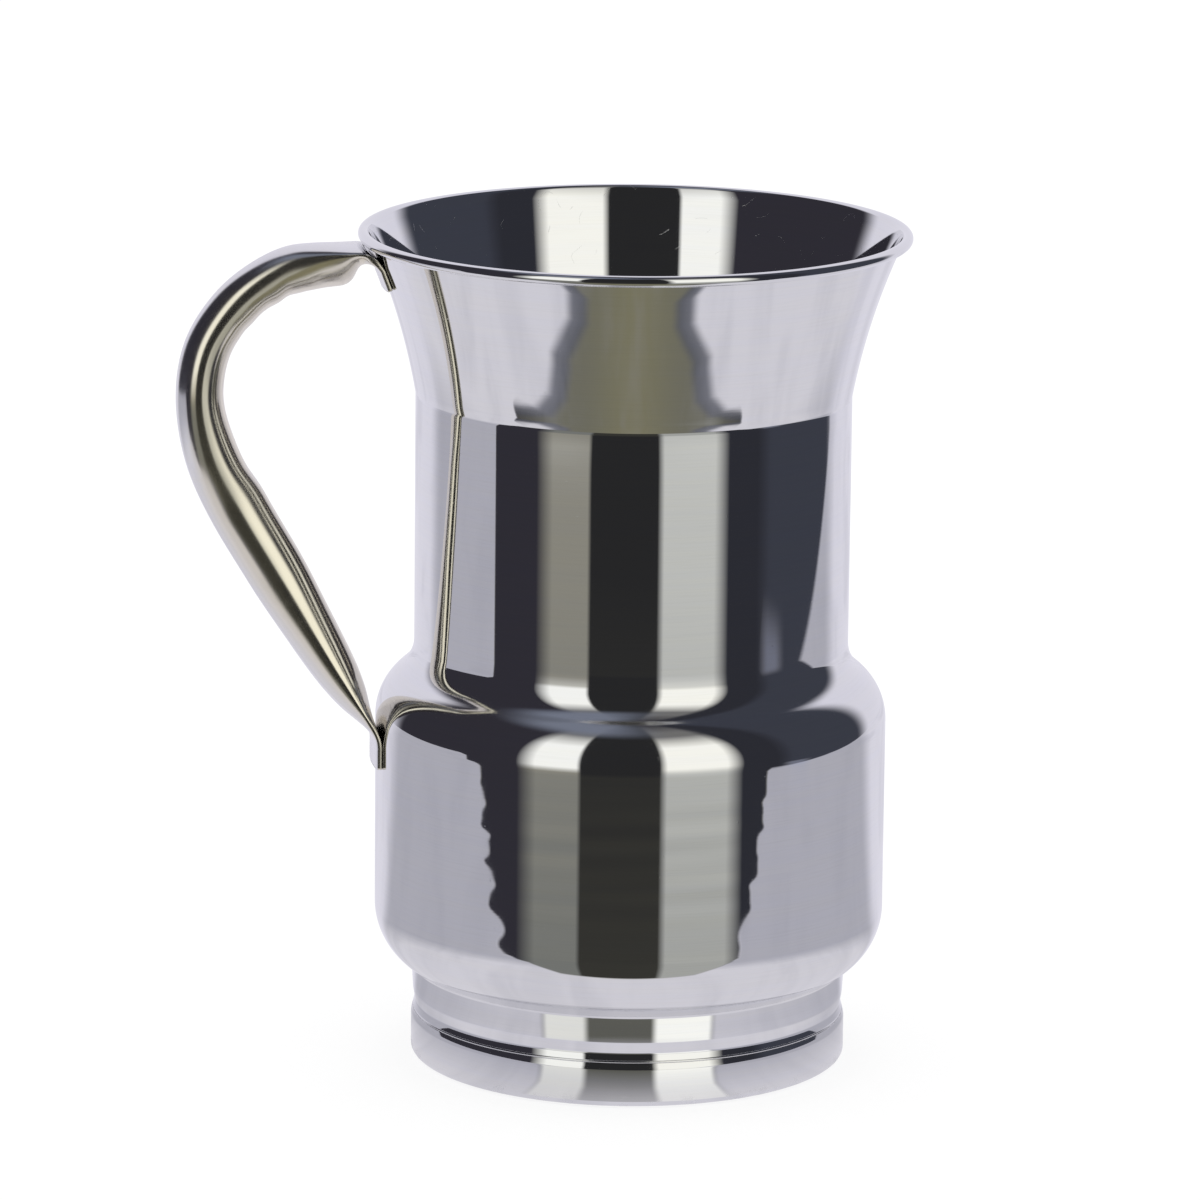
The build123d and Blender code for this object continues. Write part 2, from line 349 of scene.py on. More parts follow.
# ------------------------------------------------------------------ handle
# Stations along the handle, in mm and degrees: distance of the reference line from the axis, its
# height, lean of the depth, depth outwards, depth inwards, half width, squareness of the outer and
# of the inner half, and how far the section curves about the body.
UPPER_BEND = [
    (69.35, 213.6, 140, 1.2, 0.9, 9.9, 5, 3, 1.0),
    (70.3, 214.9, 112, 1.5, 3.0, 9.6, 3.2, 1.3, 0.6),
]
GRIP = [
    (72.4, 215.3, 90, 1.5, 6.3, 9.1, 2.6, 1.15, 0.15),
    (74.6, 214.9, 89, 1.9, 7.9, 8.6, 2.5, 1.25, 0.05),
    (77.6, 214.6, 87, 2.3, 8.5, 8.0, 2.4, 1.4, 0),
    (82.5, 213.8, 82, 3.2, 8.8, 7.5, 2.3, 1.6, 0),
    (89.4, 211.6, 71, 4.9, 7.5, 7.2, 2.1, 1.85, 0),
    (95.8, 207.9, 58, 5.7, 6.6, 7.2, 2, 2, 0),
    (104.3, 200.6, 38, 6.15, 6.15, 7.2, 2, 2, 0),
    (110.9, 190.6, 16, 6.15, 6.15, 7.2, 2, 2, 0),
    (113.2, 179.0, 0, 6.15, 6.15, 7.2, 2, 2, 0),
    (110.6, 163.6, -16, 7.0, 6.9, 6.7, 2, 1.97, 0),
    (103.0, 147.8, -27, 8.0, 7.8, 5.9, 2, 1.92, 0),
    (94.2, 132.6, -31, 7.9, 7.7, 5.9, 2, 1.9, 0),
    (84.7, 116.2, -33, 6.9, 6.7, 6.7, 2, 1.9, 0),
    (78.1, 105.0, -34, 5.9, 5.7, 7.6, 2, 1.88, 0),
    (73.4, 97.4, -36, 4.5, 4.1, 8.7, 2, 1.85, 0.2),
    (70.6, 92.6, -30, 2.6, 2.2, 9.4, 2.2, 2.0, 0.7),
]
LOWER_BEND = [(68.5, 88.6, -10, 0.95, 0.85, 9.8, 5, 5, 1.0)]

# The flattened ends, in mm.
UPPER_TAB_HEIGHTS = (206.0, 208.0, 210.0, 211.6)
LOWER_TAB_HEIGHTS = (86.4, 84.0, 81.5, 79.4)
TAB_HALF_DEPTH = 0.75
TAB_HALF_WIDTH = 9.9
TAB_SQUARENESS = 9
WRAP_R = 67.7

# The wrinkles left by forming, in mm along the handle from its upper end. The marks are the bulge
# and the dimple at the upper pinch and the kink below the bend: height, place, spread, and turn of
# the mark round the section in radians.
WRINKLE_MIDDLE = 38
WRINKLE_SPREAD = 15
HANDLE_MARKS = ((0.45, 15.5, 3.4, 0.0), (-0.30, 22.5, 3.2, 0.4), (-0.30, 96.0, 4.5, 0.0))


def tab_station(wall_r, z, wall_lean, depth_lean):
    """Station on a flattened end that lies on the wall."""
    distance = wall_r / MM + TAB_HALF_DEPTH / math.cos(math.radians(wall_lean))
    return (distance, z, depth_lean, TAB_HALF_DEPTH, TAB_HALF_DEPTH, TAB_HALF_WIDTH,
            TAB_SQUARENESS, TAB_SQUARENESS, 1.0)


def handle_stations():
    """All stations, from the lower end of the upper tab to the lower end of the lower tab."""
    upper = []
    for z in UPPER_TAB_HEIGHTS:
        lean = math.degrees(flare_lean(z * MM))
        upper.append(tab_station(flare_radius(z * MM), z, lean, 180 - lean))
    lower = [tab_station(BELLY_R, z, 0, 0) for z in LOWER_TAB_HEIGHTS]
    return upper + UPPER_BEND + GRIP + LOWER_BEND + lower


def eased(stations, step):
    """Resamples stations by cubics along the path of their first two values.

    Returns the new rows and their places along the path. Tangents are mean slopes for the path and
    its lean, and the other values take the gentler tangents that never overshoot a station.
    """
    rows = np.array(stations, float)
    gap = np.hypot(*np.diff(rows[:, :2], axis=0).T)
    along = np.concatenate([[0], np.cumsum(gap)])
    slope = np.diff(rows, axis=0) / gap[:, None]
    tangent = np.zeros_like(rows)
    tangent[0], tangent[-1] = slope[0], slope[-1]
    before, after = slope[:-1], slope[1:]
    gap_before, gap_after = gap[:-1, None], gap[1:, None]
    weight_before, weight_after = 2 * gap_after + gap_before, gap_after + 2 * gap_before
    with np.errstate(divide="ignore", invalid="ignore"):
        gentle = (weight_before + weight_after) / (weight_before / before + weight_after / after)
    tangent[1:-1] = np.where(before * after > 0, np.nan_to_num(gentle), 0)
    mean_slope = (before * gap_after + after * gap_before) / (gap_after + gap_before)
    tangent[1:-1, :3] = mean_slope[:, :3]

    places = np.linspace(0, along[-1], int(along[-1] / step) + 1)
    cell = np.clip(np.searchsorted(along, places, side="right") - 1, 0, len(gap) - 1)
    t = ((places - along[cell]) / gap[cell])[:, None]
    width = gap[cell][:, None]
    resampled = ((1 + 2 * t) * (1 - t) ** 2 * rows[cell] + t * (1 - t) ** 2 * width * tangent[cell]
                 + t ** 2 * (3 - 2 * t) * rows[cell + 1] + t ** 2 * (t - 1) * width * tangent[cell + 1])
    return resampled, places


def smoothed(rows, passes, keep):
    """Averages neighbouring rows again and again, except for a few at each end."""
    rows = rows.copy()
    last = len(rows) - keep
    for _ in range(passes):
        beside = rows[keep - 1:last - 1] + rows[keep + 1:last + 1]
        rows[keep:last] = (beside + 2 * rows[keep:last]) / 4
    return rows


def signed_power(value, exponent):
    """A power of the size of each value, with the value's own sign."""
    return np.sign(value) * np.abs(value) ** exponent


def on_inner_side(phase):
    """1 at the middle of the section's inner side, falling to 0 at its widest points."""
    return np.clip(-np.cos(phase), 0, 1)


def handle_wrinkles(place, phase):
    """Height of the forming wrinkles at a place along the handle, at each phase of its section."""
    spread = np.exp(-((place - WRINKLE_MIDDLE) / WRINKLE_SPREAD) ** 4)
    ripple = 0.15 * np.sin(place * 2 * math.pi / 9.5 + 1.2 * np.sin(phase * 2) + 0.6)
    fine = 0.04 * np.sin(place * 2 * math.pi / 6.1 + 1.6 * np.cos(phase) + 2.2)
    rise = on_inner_side(phase - 0.25) ** 1.5 * spread * (ripple + fine)
    for height, middle, reach, turn in HANDLE_MARKS:
        rise = rise + height * np.exp(-((place - middle) / reach) ** 2) * on_inner_side(phase - turn) ** 2
    return rise


def handle_ring(row, place, phase):
    """One ring of points round the handle, in mm, from a row of station values."""
    distance, height, lean, out_depth, in_depth, half_width, out_square, in_square, wrap = row
    lean = math.radians(lean)
    depth_way = np.array([-math.cos(lean), 0, math.sin(lean)])
    outer = np.cos(phase) > 0
    depth = np.where(outer, out_depth, in_depth)
    square = np.where(outer, out_square, in_square)
    across = half_width * signed_power(np.sin(phase), 2 / square)
    reach = depth * signed_power(np.cos(phase), 2 / square)
    reach += handle_wrinkles(place, phase) * np.sign(np.cos(phase))
    ring = np.array([-distance, 0, height]) + reach[:, None] * depth_way
    ring[:, 1] += across
    ring[:, 0] += wrap * across ** 2 / (2 * WRAP_R)
    return ring


def make_handle():
    """The bent tube, closed at both of its flattened ends."""
    rows, places = eased(handle_stations(), step=0.5)
    rows = smoothed(rows, passes=14, keep=12)
    phase = np.linspace(0, 2 * math.pi, HANDLE_SIDES, endpoint=False)
    rings = MM * np.array([handle_ring(row, place, phase) for row, place in zip(rows, places)])
    verts = list(rings.reshape(-1, 3)) + [rings[0].mean(axis=0), rings[-1].mean(axis=0)]
    faces = faces_between([(i, i + 1) for i in range(len(rows) - 1)], HANDLE_SIDES)
    first_middle, last_middle = len(verts) - 2, len(verts) - 1
    last_ring = (len(rows) - 1) * HANDLE_SIDES
    for j in range(HANDLE_SIDES):
        k = (j + 1) % HANDLE_SIDES
        faces.append((first_middle, k, j))
        faces.append((last_middle, last_ring + j, last_ring + k))
    obj = new_object("handle_bent_tube", verts, faces)
    finish_mesh(obj)
    return obj


# ------------------------------------------------------------------ node helpers
DEGREES = 180 / math.pi


class Nodes:
    """Short ways to add and join nodes of one tree."""

    def __init__(self, tree):
        self.tree = tree
        tree.nodes.clear()

    def add(self, kind, **settings):
        node = self.tree.nodes.new(kind)
        for key, value in settings.items():
            setattr(node, key, value)
        return node

    def put(self, socket, value):
        """Links a socket to another one, or sets it to a value."""
        if isinstance(value, bpy.types.NodeSocket):
            self.tree.links.new(value, socket)
        elif value is not None:
            socket.default_value = value

    def math(self, operation, a, b=None, clamp=False):
        node = self.add("ShaderNodeMath", operation=operation, use_clamp=clamp)
        self.put(node.inputs[0], a)
        self.put(node.inputs[1], b)
        return node.outputs[0]

    def plus(self, a, b):
        return self.math("ADD", a, b)

    def minus(self, a, b):
        return self.math("SUBTRACT", a, b)

    def times(self, a, b):
        return self.math("MULTIPLY", a, b)

    def map_range(self, kind, *values):
        node = self.add("ShaderNodeMapRange", interpolation_type=kind)
        for index, item in enumerate(values):
            self.put(node.inputs[index], item)
        return node.outputs[0]

    def ramp(self, value, low, high, to_low=0.0, to_high=1.0):
        """An eased change from one value to another while the given value goes from low to high."""
        return self.map_range("SMOOTHSTEP", value, low, high, to_low, to_high)

    def slope(self, value, start, end, to_start=0.0, to_end=1.0):
        """The same, but with a straight change, and with the start on either side of the end."""
        return self.map_range("LINEAR", value, start, end, to_start, to_end)

    def band(self, value, low, high, soft):
        """1 between low and high, with eased edges."""
        return self.times(self.ramp(value, low - soft / 2, low + soft / 2),
                          self.ramp(value, high - soft / 2, high + soft / 2, 1.0, 0.0))

    def past(self, distance, soft):
        """0 before an edge and 1 past it, with a straight change from one to the other."""
        return self.math("ADD", self.math("DIVIDE", distance, soft), 0.5, clamp=True)

    def window(self, value, low, high, soft_low, soft_high):
        """1 between low and high, with straight edges."""
        return self.times(self.past(self.minus(value, low), soft_low),
                          self.past(self.minus(high, value), soft_high))

    def mix(self, factor, a, b):
        node = self.add("ShaderNodeMix", data_type="RGBA")
        self.put(node.inputs[0], factor)
        self.put(node.inputs[6], a if isinstance(a, bpy.types.NodeSocket) else (*a, 1))
        self.put(node.inputs[7], b if isinstance(b, bpy.types.NodeSocket) else (*b, 1))
        return node.outputs[2]

    def noise(self, vector, scale, detail=3.0, rough=0.5, distortion=0.0):
        node = self.add("ShaderNodeTexNoise")
        self.put(node.inputs["Vector"], vector)
        node.inputs["Scale"].default_value = scale
        node.inputs["Detail"].default_value = detail
        node.inputs["Roughness"].default_value = rough
        node.inputs["Distortion"].default_value = distortion
        return node.outputs[0]

    def bump(self, height, strength, distance, normal=None):
        node = self.add("ShaderNodeBump")
        node.inputs["Strength"].default_value = strength
        node.inputs["Distance"].default_value = distance
        self.put(node.inputs["Height"], height)
        self.put(node.inputs["Normal"], normal)
        return node.outputs[0]

    def combine(self, x, y, z):
        node = self.add("ShaderNodeCombineXYZ")
        for socket, item in zip(node.inputs, (x, y, z)):
            self.put(socket, item)
        return node.outputs[0]

    def split(self, vector):
        node = self.add("ShaderNodeSeparateXYZ")
        self.put(node.inputs[0], vector)
        return node.outputs

    def place(self):
        return self.add("ShaderNodeTexCoord").outputs["Object"]

    def normal(self):
        return self.split(self.add("ShaderNodeNewGeometry").outputs["Normal"])

    def from_axis(self, x, y):
        """Distance from the body's axis."""
        return self.math("SQRT", self.plus(self.times(x, x), self.times(y, y)))

    def side(self, x, y):
        """Angle in degrees round the axis from straight in front, positive to the right."""
        return self.times(self.math("ARCTAN2", x, self.times(y, -1.0)), DEGREES)


# ------------------------------------------------------------------ steel
# How fast the streaks change with the turn round the axis, the height and the radius.
STREAKS_ROUND = 0.35
STREAKS_UP = 260.0
STREAKS_OUT = 60.0

# The rougher band under the neck, the worn height above the table, and the depths of the bumps.
HOLLOW_LOW_Z = 100.0 * MM
HOLLOW_HIGH_Z = 105.5 * MM
HOLLOW_SOFT = 3.0 * MM
SCUFF_FULL_Z = 0.4 * MM
SCUFF_END_Z = 5.0 * MM
STREAK_DEPTH = 0.006 * MM
DING_DEPTH = 0.03 * MM


def streak_place(nodes, x, y, z):
    """Coordinates that stretch a noise into streaks round the axis."""
    turn = nodes.math("ARCTAN2", y, x)
    return nodes.combine(nodes.times(turn, STREAKS_ROUND), nodes.times(z, STREAKS_UP),
                         nodes.times(nodes.from_axis(x, y), STREAKS_OUT))


def outer_handle_side(nodes):
    """1 on the surfaces that face away from the body or upwards, and 0 on the others."""
    x, _, z = nodes.normal()
    return nodes.ramp(nodes.math("MAXIMUM", nodes.times(x, -1.0), z), 0.35, 0.80)


def inside_scratches(nodes, place, x, y):
    """1 on short thin lines on the surfaces that face the axis."""
    normal_x, normal_y, _ = nodes.normal()
    inside = nodes.math("LESS_THAN", nodes.plus(nodes.times(normal_x, x), nodes.times(normal_y, y)), 0.0)
    from_line = nodes.math("ABSOLUTE", nodes.minus(nodes.noise(place, 120.0, detail=0.0), 0.5))
    lines = nodes.ramp(from_line, 0.0015, 0.0035, 1.0, 0.0)
    pieces = nodes.ramp(nodes.noise(place, 190.0, detail=1.0), 0.56, 0.60)
    return nodes.times(nodes.times(lines, pieces), inside)


def lower_edge_scuffs(nodes, place, z):
    """1 on worn spots along the edge that the pitcher stands on."""
    edge = nodes.ramp(z, SCUFF_FULL_Z, SCUFF_END_Z, 1.0, 0.0)
    return nodes.times(edge, nodes.ramp(nodes.noise(place, 160.0, detail=4.0, rough=0.7), 0.48, 0.60))


def steel(name, tint, rough, brushing, painted_straw_reflection=None, hollow=0.0, scratches=0.0, scuffs=0.0):
    """Polished stainless steel with streaks round the axis, smears, specks and small dings.

    The straw colour is a painted reflection: a warm tint for the light that the handle's flanks and
    underside mirror, put on all but the outer side of the handle. The last three are how much rougher the
    hollow under the neck, the scratches inside and the scuffs below are.
    """
    material = bpy.data.materials.new(name)
    material.use_nodes = True
    nodes = Nodes(material.node_tree)
    place = nodes.place()
    x, y, z = nodes.split(place)
    along_streaks = streak_place(nodes, x, y, z)
    streaks = nodes.noise(along_streaks, 9.0, detail=4.0, rough=0.6)
    long_streaks = nodes.noise(along_streaks, 2.1, detail=2.0)
    smears = nodes.noise(place, 38.0, rough=0.55, distortion=0.6)
    specks = nodes.ramp(nodes.noise(place, 2300.0, detail=1.0, rough=0.4), 0.80, 0.86)
    ding_height = nodes.ramp(nodes.noise(place, 900.0, detail=2.0), 0.72, 0.84)

    dark = tuple(c * 0.93 for c in tint)
    cool = (tint[0] * 0.985, tint[1] * 0.99, tint[2] * 1.015)
    colour = nodes.mix(nodes.ramp(long_streaks, 0.3, 0.7), tint, cool)
    # Painted reflection: a straw tint on all but the handle's outer side stands in for the warm light that
    # the handle mirrors there.
    if painted_straw_reflection:
        colour = nodes.mix(outer_handle_side(nodes), painted_straw_reflection, colour)
    colour = nodes.mix(nodes.times(nodes.ramp(streaks, 0.42, 0.72), 0.35 * brushing), colour, dark)
    colour = nodes.mix(nodes.times(specks, 0.15), colour, (0.9, 0.9, 0.9))

    roughness = nodes.plus(nodes.ramp(smears, 0.35, 0.75, rough * 0.85, rough * 1.3),
                           nodes.times(nodes.ramp(streaks, 0.45, 0.8), 0.012 * brushing))
    if hollow:
        under_neck = nodes.band(z, HOLLOW_LOW_Z, HOLLOW_HIGH_Z, HOLLOW_SOFT)
        roughness = nodes.plus(roughness, nodes.times(under_neck, hollow))
    if scratches:
        roughness = nodes.plus(roughness, nodes.times(inside_scratches(nodes, place, x, y), scratches))
    if scuffs:
        roughness = nodes.plus(roughness, nodes.times(lower_edge_scuffs(nodes, place, z), scuffs))

    brushed = nodes.bump(streaks, 0.08 * brushing, STREAK_DEPTH)
    shader = nodes.add("ShaderNodeBsdfPrincipled")
    shader.inputs["Metallic"].default_value = 1.0
    nodes.put(shader.inputs["Base Color"], colour)
    nodes.put(shader.inputs["Roughness"], roughness)
    nodes.put(shader.inputs["Normal"], nodes.bump(ding_height, 0.10, DING_DEPTH, brushed))
    nodes.put(nodes.add("ShaderNodeOutputMaterial").inputs[0], shader.outputs[0])
    return material


def assign(obj, material):
    obj.data.materials.clear()
    obj.data.materials.append(material)


body_steel = steel("body_polished_steel", (0.80, 0.80, 0.805), rough=0.030, brushing=1.0,
                   hollow=0.05, scratches=0.30)
foot_steel = steel("foot_polished_steel", (0.79, 0.79, 0.795), rough=0.040, brushing=0.7, scuffs=0.35)
base_steel = steel("base_satin_steel", (0.70, 0.70, 0.705), rough=0.14, brushing=1.6)
# The handle's straw colour is a painted reflection on its flanks and underside, not a tint of the steel.
handle_steel = steel("handle_polished_steel", (0.80, 0.795, 0.79), rough=0.18, brushing=0.3,
                     painted_straw_reflection=(0.80, 0.755, 0.645))
weld_steel = steel("ground_weld_steel", (0.70, 0.70, 0.70), rough=0.12, brushing=1.0)

# ------------------------------------------------------------------ pieces
body = spun("body_spun_shell", sheet_section(body_outline(), SHEET), BODY_SEGMENTS, body_waviness)
foot = spun("foot_rolled_ring", sheet_section(foot_outline(), SHEET), RING_SEGMENTS)
base = spun("base_pressed_disc", base_section(), BASE_SEGMENTS)
seam = spun("foot_ground_seam", seam_section(), RING_SEGMENTS)
handle = make_handle()

for piece, node, material in (
    (body, "body_shell", body_steel),
    (foot, "foot_ring", foot_steel),
    (base, "base_disc", base_steel),
    (seam, "foot_seam_weld", weld_steel),
    (handle, "handle_tube", handle_steel),
):
    assign(piece, material)
    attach(piece, "root")
    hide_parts(node)

for node in ("base_seam_weld", "upper_tab_welds", "lower_tab_welds"):
    assign(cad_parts[node], weld_steel)

# ------------------------------------------------------------------ studio
FLOOR_R = 6.0
FLOOR_Z = -0.6 * MM
TABLE_R = 1.25
TABLE_Z = -0.5 * MM

# What the metal mirrors. LEFT_BOX and RIGHT_BOX are the sides of two tall soft boxes, as angles in
# degrees round the axis from straight in front, positive to the right.
LEFT_BOX = (-47.0, -22.5)
RIGHT_BOX = (15.0, 48.0)
PALE_WALL = (0.80, 0.785, 0.87)
PALE_TABLE = (0.76, 0.745, 0.80)
GRAZED_TABLE = (0.49, 0.485, 0.545)  # the same table mirrored at a low angle


def disc(name, radius, z, sides=96):
    """A flat round piece of the stage, which isn't part of the pitcher."""
    turn = np.linspace(0, 2 * math.pi, sides, endpoint=False)
    ring = [(radius * math.cos(a), radius * math.sin(a), z) for a in turn]
    obj = new_object(name, ring, [tuple(range(sides))])
    return obj


def dark_room(nodes, side, raised):
    """The dark room, which is darkest between the soft boxes."""
    room = nodes.mix(nodes.slope(side, 40, 80), (0.034, 0.032, 0.042), (0.050, 0.054, 0.072))
    room = nodes.mix(nodes.window(side, 50, 73, 5.0, 8.0), room, (0.030, 0.031, 0.040))
    middle = nodes.mix(raised, (0.044, 0.043, 0.037), (0.024, 0.024, 0.025))
    return nodes.mix(nodes.window(side, -23, 15.5, 3.0, 3.0), room, middle)


def soft_boxes(nodes, side, rise, raised, room):
    """Two tall soft boxes, dimmer below the horizon, that fade upwards."""
    above = nodes.slope(rise, -12.0, -3.0)
    fade = nodes.times(nodes.slope(rise, 36, 58, 1.0, 0.14), nodes.slope(rise, 66, 84, 1.0, 0.0))
    left_dim = nodes.mix(raised, (0.205, 0.210, 0.195), (0.300, 0.290, 0.245))
    right_dim = nodes.mix(raised, (0.43, 0.435, 0.41), (0.62, 0.625, 0.59))
    left_light = nodes.mix(above, left_dim, (1.12, 1.12, 1.06))
    right_light = nodes.mix(above, right_dim, (1.14, 1.13, 1.04))
    room = nodes.mix(nodes.times(nodes.window(side, *LEFT_BOX, 9.0, 2.0), fade), room, left_light)
    return nodes.mix(nodes.times(nodes.window(side, *RIGHT_BOX, 3.5, 8.0), fade), room, right_light)


def make_world():
    """Soft studio: what the polished metal mirrors, and an even white for everything else."""
    world = bpy.data.worlds.new("studio")
    bpy.context.scene.world = world
    world.use_nodes = True
    nodes = Nodes(world.node_tree)
    turned = nodes.add("ShaderNodeVectorRotate", rotation_type="Z_AXIS")
    nodes.put(turned.inputs["Vector"], nodes.add("ShaderNodeTexCoord").outputs["Generated"])
    turned.inputs["Angle"].default_value = CAMERA_TURN
    x, y, z = nodes.split(turned.outputs[0])
    side = nodes.side(x, y)
    rise = nodes.times(nodes.math("ARCSINE", z), DEGREES)

    # 0 far below the horizon, where the room shows in front of the table's edge, and 1 above that.
    raised = nodes.slope(rise, -15.6, -12.4)
    colour = soft_boxes(nodes, side, rise, raised, dark_room(nodes, side, raised))

    # The pale wall behind the pitcher, and a faint bluish glow overhead to the left.
    behind = nodes.times(nodes.ramp(nodes.math("ABSOLUTE", side), 122.0, 136.0),
                         nodes.ramp(rise, 58.0, 72.0, 1.0, 0.0))
    colour = nodes.mix(behind, colour, PALE_WALL)
    haze = nodes.times(nodes.band(rise, 60, 84, 16), nodes.window(side, -110, 0, 60, 60))
    colour = nodes.mix(haze, colour, (0.20, 0.22, 0.28))

    path = nodes.add("ShaderNodeLightPath")
    background = nodes.add("ShaderNodeBackground")
    nodes.put(background.inputs["Color"], nodes.mix(path.outputs["Is Glossy Ray"], (1.0, 1.0, 1.0), colour))
    nodes.put(nodes.add("ShaderNodeOutputWorld").inputs[0], background.outputs[0])
    world.cycles.sampling_method = "NONE"


def make_floor():
    """A pale floor that glows evenly, and that the metal doesn't mirror."""
    floor = disc("floor", FLOOR_R, FLOOR_Z)
    material = bpy.data.materials.new("pale_floor")
    material.use_nodes = True
    shader = material.node_tree.nodes["Principled BSDF"]
    shader.inputs["Base Color"].default_value = (0.25, 0.25, 0.25, 1)
    shader.inputs["Roughness"].default_value = 0.9
    shader.inputs["Specular IOR Level"].default_value = 0.0
    shader.inputs["Emission Color"].default_value = (1, 1, 1, 1)
    shader.inputs["Emission Strength"].default_value = 0.80
    assign(floor, material)
    floor.visible_glossy = False


# The table's front edge lies at y = FRONT_Y in the middle, and moves by the last value while x goes
# from the first value to the second. All of it is in metres.
FRONT_Y = -0.118
FRONT_BENDS = (
    (0.050, 0.110, -0.030), (0.110, 0.160, -0.018), (0.160, 0.360, -0.048),
    (-0.050, -0.110, -0.028), (-0.190, -0.377, -0.032), (-0.400, -0.470, 0.032), (-0.470, -0.880, -0.095),
)
WAVE_PERIOD = 0.046
WAVE_LEFT = 0.010
WAVE_RIGHT = 0.005

# The right edge crosses y = 0 at RIGHT_EDGE_X, and moves this far to the right per metre of y.
RIGHT_EDGE_X = 0.50
RIGHT_EDGE_SLANT = 0.5
RIGHT_EDGE_SOFT = 0.012

# The dull front part reaches DULL_SIDE degrees to the right, and changes by the last value while the
# radius goes from the first value to the second.
DULL_SIDE = 75.0
DULL_LEFT_EXTRA = 3.0
DULL_STEPS = (
    (0.150, 0.187, -22.0), (0.187, 0.205, -16.0), (0.205, 0.220, -13.0), (0.240, 0.275, 9.0),
    (0.285, 0.325, 3.0), (0.318, 0.344, 8.0), (0.340, 0.370, 20.0), (0.370, 0.420, 35.0),
)


def behind_front_edge(nodes, x, y, radius):
    """Distance behind the table's front edge, which is a little wavy some way from the pitcher."""
    front = FRONT_Y
    for start, end, change in FRONT_BENDS:
        front = nodes.plus(front, nodes.slope(x, start, end, 0.0, change))
    wave = nodes.math("SINE", nodes.times(radius, 2 * math.pi / WAVE_PERIOD))
    wave = nodes.times(wave, nodes.band(radius, 0.21, 0.40, 0.04))
    wave = nodes.times(wave, nodes.slope(x, -0.05, 0.05, WAVE_LEFT, WAVE_RIGHT))
    return nodes.plus(nodes.minus(y, front), wave)


def lit_part(nodes, x, y, radius, behind_edge):
    """1 behind the front edge and left of the table's slanting right edge."""
    lit = nodes.past(behind_edge, nodes.slope(radius, 0.12, 0.50, 0.003, 0.010))
    past_right = nodes.minus(x, nodes.plus(nodes.times(y, RIGHT_EDGE_SLANT), RIGHT_EDGE_X))
    return nodes.times(lit, nodes.slope(past_right, -RIGHT_EDGE_SOFT, RIGHT_EDGE_SOFT, 1.0, 0.0))


def far_patch(nodes, x, y):
    """1 on a second pale patch far to the right."""
    slant = nodes.math("DIVIDE", nodes.plus(y, 0.03), x)
    return nodes.times(nodes.band(slant, -0.30, -0.10, 0.14), nodes.band(x, 0.42, 0.58, 0.10))


def front_colour(nodes, side, radius):
    """The front part seen steeply: dull and olive, with a dark border and pale sides."""
    reach = DULL_SIDE
    for start, end, change in DULL_STEPS:
        reach = nodes.plus(reach, nodes.slope(radius, start, end, 0.0, change))
    gap = nodes.math("MINIMUM", nodes.plus(nodes.plus(reach, DULL_LEFT_EXTRA), side),
                     nodes.minus(reach, side))
    border = nodes.times(nodes.band(gap, -5.0, 4.0, 6.0), 0.9)
    olive = nodes.mix(nodes.band(side, -14, 14, 30), (0.185, 0.180, 0.140), (0.225, 0.213, 0.135))
    colour = nodes.mix(nodes.past(gap, 5.0), PALE_TABLE, olive)
    return nodes.mix(border, colour, (0.115, 0.12, 0.145))


def flat_colour(nodes, side, radius, facing, patch):
    """The table behind its front edge: duller where the metal mirrors it at a low angle."""
    close = nodes.slope(radius, 0.060, 0.095, 1.0, 0.0)
    pale = nodes.math("MAXIMUM", close, nodes.slope(facing, 0.56, 0.71, 1.0, 0.0))
    colour = nodes.mix(pale, GRAZED_TABLE, PALE_TABLE)
    colour = nodes.mix(nodes.ramp(nodes.math("ABSOLUTE", side), 118.0, 132.0), colour, PALE_WALL)
    return nodes.mix(patch, colour, (0.42, 0.44, 0.56))


def cloudy(nodes, side, radius, colour):
    """Faint unevenness that looks like soft upright streaks in the metal."""
    place = nodes.combine(nodes.times(side, 0.055), nodes.times(radius, 5.0), 0.0)
    cloud = nodes.ramp(nodes.noise(place, 1.0, rough=0.55, distortion=0.4), 0.42, 0.72, 0.0, 0.20)
    return nodes.mix(cloud, colour, (0.36, 0.36, 0.42))


def near_foot(nodes, side, radius, facing, colour, cover):
    """Close in front of the foot the table is glossy, and mirrors the soft boxes at a low angle."""
    across = nodes.math("DIVIDE", side, nodes.slope(radius, 0.076, 0.130, 0.63, 0.78))
    mirrored = nodes.mix(nodes.band(across, *LEFT_BOX, 5.0), (0.125, 0.125, 0.11), (0.88, 0.88, 0.84))
    mirrored = nodes.mix(nodes.band(across, *RIGHT_BOX, 5.0), mirrored, (1.15, 1.15, 1.09))
    zone = nodes.times(nodes.band(across, LEFT_BOX[0], RIGHT_BOX[1], 6.0), nodes.slope(facing, 0.54, 0.60))
    zone = nodes.times(zone, nodes.slope(radius, 0.136, 0.142, 1.0, 0.0))
    strength = nodes.times(zone, nodes.slope(radius, 0.060, 0.095, 0.35, 1.0))
    return nodes.mix(strength, colour, mirrored), nodes.math("MAXIMUM", cover, zone)


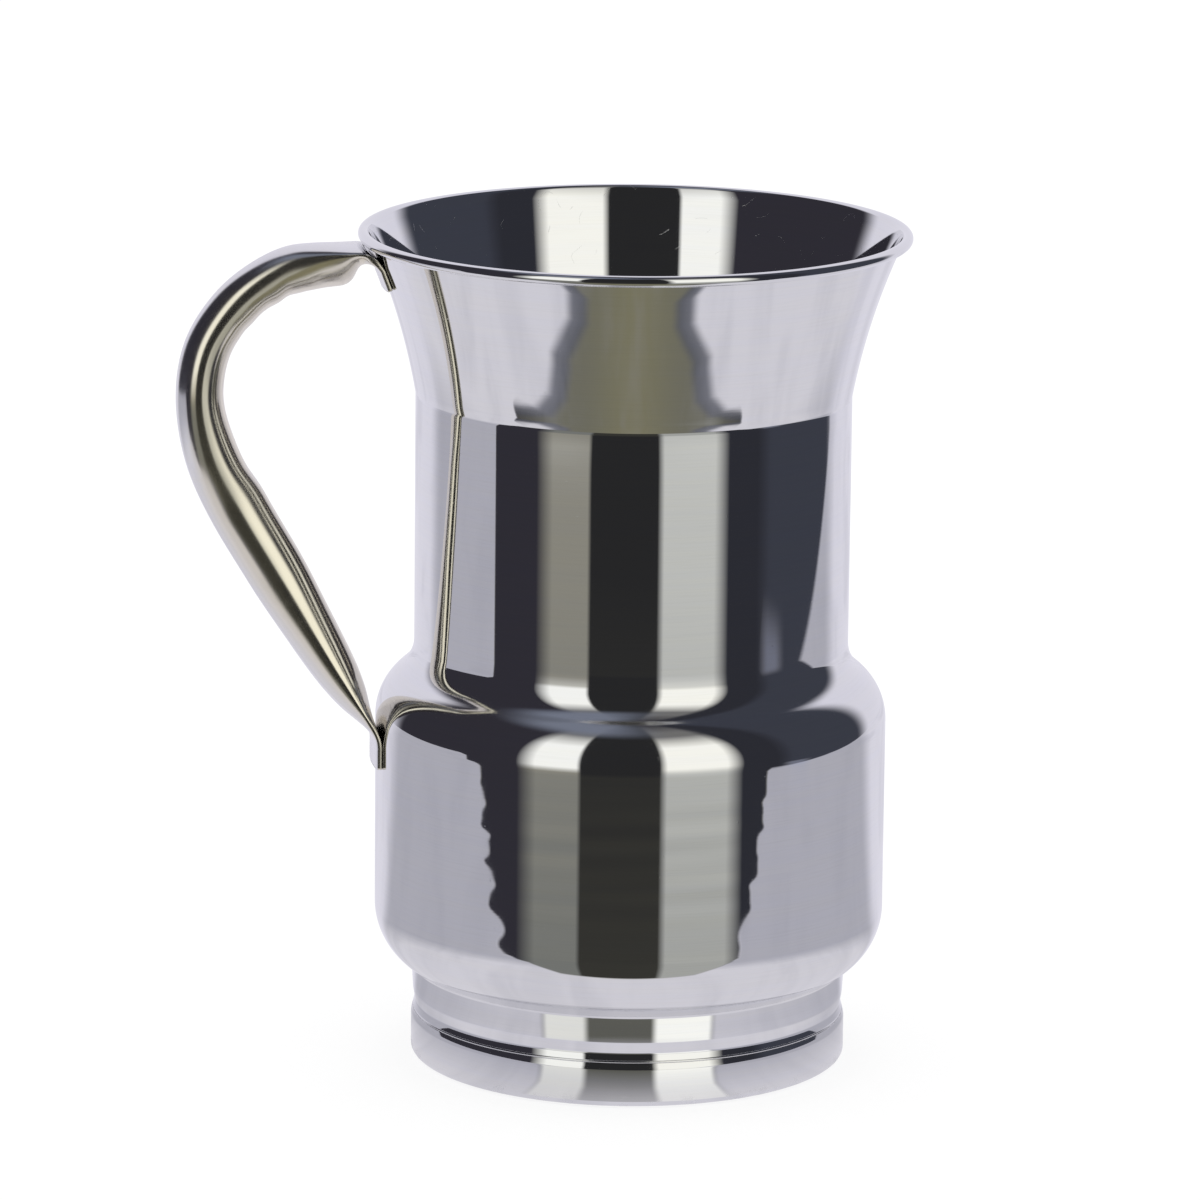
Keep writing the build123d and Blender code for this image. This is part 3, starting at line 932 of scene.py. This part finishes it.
def make_table():
    """The lit table as only the metal mirrors it: bright, but with its front part in the dark."""
    card = disc("mirrored_table", TABLE_R, TABLE_Z)
    card.rotation_euler.z = -CAMERA_TURN
    material = bpy.data.materials.new("table_glow")
    material.use_nodes = True
    nodes = Nodes(material.node_tree)
    x, y, _ = nodes.split(nodes.place())
    radius = nodes.from_axis(x, y)
    side = nodes.side(x, y)
    facing = nodes.add("ShaderNodeLayerWeight").outputs["Facing"]

    behind_edge = behind_front_edge(nodes, x, y, radius)
    patch = far_patch(nodes, x, y)
    in_front = nodes.slope(behind_edge, -0.004, 0.004, 1.0, 0.0)
    colour = nodes.mix(in_front, flat_colour(nodes, side, radius, facing, patch),
                       front_colour(nodes, side, radius))
    colour = cloudy(nodes, side, radius, colour)

    # The front part shows only where the metal mirrors it steeply, at some distance.
    lit = nodes.math("MAXIMUM", lit_part(nodes, x, y, radius, behind_edge), nodes.times(patch, 0.35))
    steep = nodes.times(nodes.slope(facing, 0.465, 0.54, 1.0, 0.0), nodes.band(radius, 0.160, 0.374, 0.012))
    cover = nodes.math("MAXIMUM", lit, steep)
    colour, cover = near_foot(nodes, side, radius, facing, colour, cover)

    glow = nodes.add("ShaderNodeEmission")
    nodes.put(glow.inputs["Color"], colour)
    both = nodes.add("ShaderNodeMixShader")
    nodes.put(both.inputs[0], cover)
    nodes.put(both.inputs[1], nodes.add("ShaderNodeBsdfTransparent").outputs[0])
    nodes.put(both.inputs[2], glow.outputs[0])
    nodes.put(nodes.add("ShaderNodeOutputMaterial").inputs[0], both.outputs[0])
    assign(card, material)
    card.visible_camera = False
    card.visible_diffuse = False
    card.visible_shadow = False


def make_camera():
    """The camera, placed and aimed in front of the y axis and then turned round the pitcher."""
    data = bpy.data.cameras.new("camera")
    data.sensor_width = CAMERA_SENSOR
    data.lens = CAMERA_LENS
    data.clip_start = 0.05
    data.clip_end = 50
    camera = bpy.data.objects.new("camera", data)
    bpy.context.scene.collection.objects.link(camera)
    ahead = Vector((math.sin(CAMERA_YAW) * math.cos(CAMERA_PITCH),
                    math.cos(CAMERA_YAW) * math.cos(CAMERA_PITCH), -math.sin(CAMERA_PITCH)))
    right = Vector((math.cos(CAMERA_YAW), -math.sin(CAMERA_YAW), 0))
    up = right.cross(ahead)
    tilted_right = math.cos(CAMERA_ROLL) * right + math.sin(CAMERA_ROLL) * up
    tilted_up = math.cos(CAMERA_ROLL) * up - math.sin(CAMERA_ROLL) * right
    facing = Matrix((tilted_right, tilted_up, -ahead)).transposed().to_4x4()
    place = Matrix.Translation((0, -CAMERA_DISTANCE, CAMERA_HEIGHT)) @ facing
    camera.matrix_world = Matrix.Rotation(-CAMERA_TURN, 4, "Z") @ place
    bpy.context.scene.camera = camera


make_world()
make_floor()
make_table()
make_camera()
bpy.context.scene.view_settings.view_transform = "Standard"
